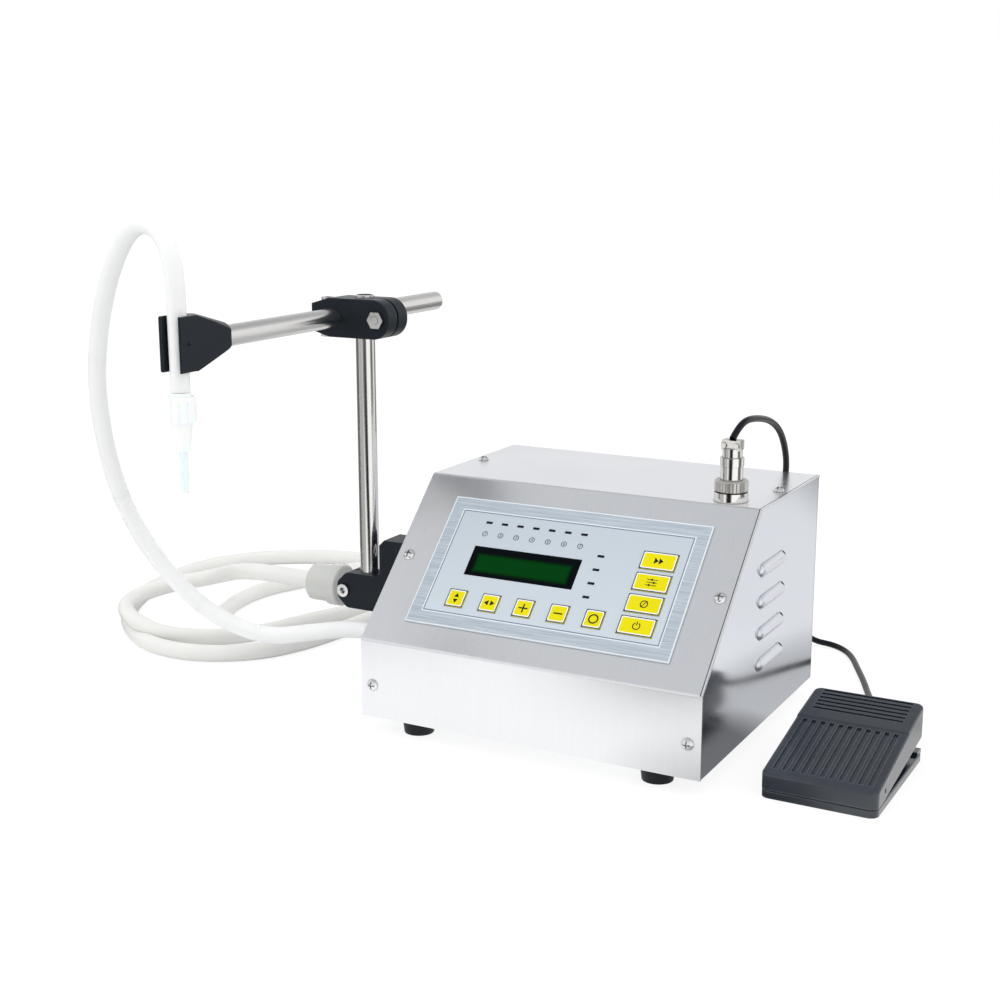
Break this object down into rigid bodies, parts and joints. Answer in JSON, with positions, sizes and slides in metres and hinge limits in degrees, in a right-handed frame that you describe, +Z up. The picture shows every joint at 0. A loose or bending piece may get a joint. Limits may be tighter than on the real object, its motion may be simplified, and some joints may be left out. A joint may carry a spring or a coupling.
{
  "type": "desktop liquid filling machine",
  "caption": "Desktop liquid filling machine: sheet steel cabinet with sloping keypad, stand with hose arm and nozzle, suction hose and foot pedal.",
  "frame": {"origin": "middle of the rigid machine's footprint, without its free hoses and cable, on the surface it stands on", "axes": "+X to the right as seen from the front, +Y from the front to the back, +Z up"},
  "size_m": [0.6498, 0.4457, 0.3205],
  "materials": {
    "stainless": "brushed",
    "rod_steel": "polished",
    "nickel": "polished",
    "zinc_screw": "satin",
    "black_nylon": "matte",
    "pedal_black": "satin",
    "rubber_foot": "matte",
    "overlay_grey": "satin",
    "key_yellow": "satin",
    "lamp_black": "gloss",
    "lcd_black": "matte",
    "lcd_green": "gloss",
    "board_green": "satin",
    "silicone": "satin",
    "clear_grey": "gloss",
    "white_nylon": "satin",
    "cable_black": "matte",
    "pump_steel": "satin",
    "motor_paint": "satin",
    "supply_zinc": "satin",
    "spring_steel": "polished"
  },
  "bodies": {
    "machine": {"cover": "stainless", "side_panel_left": "stainless", "side_panel_right": "stainless", "base_plate": "stainless", "back_panel": "stainless", "rubber_feet": "rubber_foot", "cabinet_screws": "zinc_screw", "keypad_overlay": "overlay_grey", "indicator_lamps": "lamp_black", "display_module": "lcd_black", "display_glass": "lcd_green", "control_board": "board_green", "back_fittings": "black_nylon", "stand_bracket": "black_nylon", "bracket_screws": "zinc_screw", "hose_fittings": "zinc_screw", "inlet_strainer": "clear_grey", "strainer_screen": "zinc_screw", "outlet_hose_lower": "silicone", "suction_hose": "silicone", "pedal_cable": "cable_black", "cable_coil": "cable_black", "pedal_cable_end": "cable_black", "inlet_stub_hose": "silicone", "pedal_socket": "nickel", "plug_ring": "nickel", "plug_body": "nickel", "pedal_base": "pedal_black", "pedal_pin": "zinc_screw", "pedal_switch": "pedal_black", "cable_relief": "pedal_black", "pedal_spring": "spring_steel", "pump_housing": "pump_steel", "pump_mount": "pump_steel", "pump_motor": "motor_paint", "power_supply": "supply_zinc"},
    "stand": {"stand_rod": "rod_steel", "outlet_hose_rise": "silicone"},
    "clamp": {"cross_clamp": "black_nylon", "cross_clamp_bolts": "zinc_screw", "outlet_hose_middle": "silicone"},
    "arm": {"arm_rod": "rod_steel", "outlet_hose_arch": "silicone"},
    "holder": {"hose_holder": "black_nylon", "holder_set_screw": "zinc_screw", "outlet_hose_end": "silicone", "filling_nozzle": "white_nylon"},
    "treadle": {"pedal_treadle": "pedal_black"},
    "rocker": {"rocker_paddle": "black_nylon"},
    "drive": {"drive_gear": "pump_steel"},
    "idler": {"idler_gear": "pump_steel"},
    "key_up_down": {"key_up_down": "key_yellow"},
    "key_left_right": {"key_left_right": "key_yellow"},
    "key_plus": {"key_plus": "key_yellow"},
    "key_minus": {"key_minus": "key_yellow"},
    "key_circle": {"key_circle": "key_yellow"},
    "key_power": {"key_power": "key_yellow"},
    "key_clear": {"key_clear": "key_yellow"},
    "key_setting": {"key_setting": "key_yellow"},
    "key_run": {"key_run": "key_yellow"}
  },
  "joints": [
    {"name": "stand_swivel", "type": "hinge", "parent": "machine", "child": "stand", "pos_m": [-0.1432, 0.0117, 0.16], "axis": [0, 0, 1], "range_deg": [-30, 20], "deforming": ["outlet_hose_lower"]},
    {"name": "clamp_height", "type": "slide", "parent": "stand", "child": "clamp", "axis": [0, 0, 1], "range_m": [-0.06, 0], "deforming": ["outlet_hose_rise"]},
    {"name": "arm_reach", "type": "slide", "parent": "clamp", "child": "arm", "axis": [0, 1, 0], "range_m": [-0.06, 0.03], "deforming": ["outlet_hose_middle"]},
    {"name": "holder_tilt", "type": "hinge", "parent": "arm", "child": "holder", "pos_m": [-0.1597, -0.138, 0.251], "axis": [0, 1, 0], "range_deg": [-25, 25], "deforming": ["outlet_hose_arch"]},
    {"name": "treadle_press", "type": "hinge", "parent": "machine", "child": "treadle", "pos_m": [0.1752, -0.0128, 0.0106], "axis": [1, 0, 0], "range_deg": [-3.5, 0], "stiffness_Nm_per_rad": 3, "springref_deg": 5.16, "deforming": ["pedal_spring"]},
    {"name": "rocker_rock", "type": "hinge", "parent": "machine", "child": "rocker", "pos_m": [0.0628, 0.1515, 0.088], "axis": [1, 0, 0], "range_deg": [-8, 8]},
    {"name": "drive_spin", "type": "hinge", "parent": "machine", "child": "drive", "pos_m": [-0.0572, 0.07, 0.054], "axis": [0, 1, 0], "continuous": true},
    {"name": "idler_spin", "type": "hinge", "parent": "machine", "child": "idler", "pos_m": [-0.0572, 0.07, 0.07035], "axis": [0, 1, 0], "continuous": true},
    {"name": "key_up_down_press", "type": "slide", "parent": "machine", "child": "key_up_down", "axis": [0, 0.6991, -0.715], "range_m": [0, 0.0005], "stiffness_N_per_m": 800, "springref_m": -0.0006},
    {"name": "key_left_right_press", "type": "slide", "parent": "machine", "child": "key_left_right", "axis": [0, 0.6991, -0.715], "range_m": [0, 0.0005], "stiffness_N_per_m": 800, "springref_m": -0.0006},
    {"name": "key_plus_press", "type": "slide", "parent": "machine", "child": "key_plus", "axis": [0, 0.6991, -0.715], "range_m": [0, 0.0005], "stiffness_N_per_m": 800, "springref_m": -0.0006},
    {"name": "key_minus_press", "type": "slide", "parent": "machine", "child": "key_minus", "axis": [0, 0.6991, -0.715], "range_m": [0, 0.0005], "stiffness_N_per_m": 800, "springref_m": -0.0006},
    {"name": "key_circle_press", "type": "slide", "parent": "machine", "child": "key_circle", "axis": [0, 0.6991, -0.715], "range_m": [0, 0.0005], "stiffness_N_per_m": 800, "springref_m": -0.0006},
    {"name": "key_power_press", "type": "slide", "parent": "machine", "child": "key_power", "axis": [0, 0.6991, -0.715], "range_m": [0, 0.0005], "stiffness_N_per_m": 800, "springref_m": -0.0006},
    {"name": "key_clear_press", "type": "slide", "parent": "machine", "child": "key_clear", "axis": [0, 0.6991, -0.715], "range_m": [0, 0.0005], "stiffness_N_per_m": 800, "springref_m": -0.0006},
    {"name": "key_setting_press", "type": "slide", "parent": "machine", "child": "key_setting", "axis": [0, 0.6991, -0.715], "range_m": [0, 0.0005], "stiffness_N_per_m": 800, "springref_m": -0.0006},
    {"name": "key_run_press", "type": "slide", "parent": "machine", "child": "key_run", "axis": [0, 0.6991, -0.715], "range_m": [0, 0.0005], "stiffness_N_per_m": 800, "springref_m": -0.0006}
  ],
  "couplings": [
    {"joint": "idler_spin", "follows": "drive_spin", "ratio": -1}
  ]
}
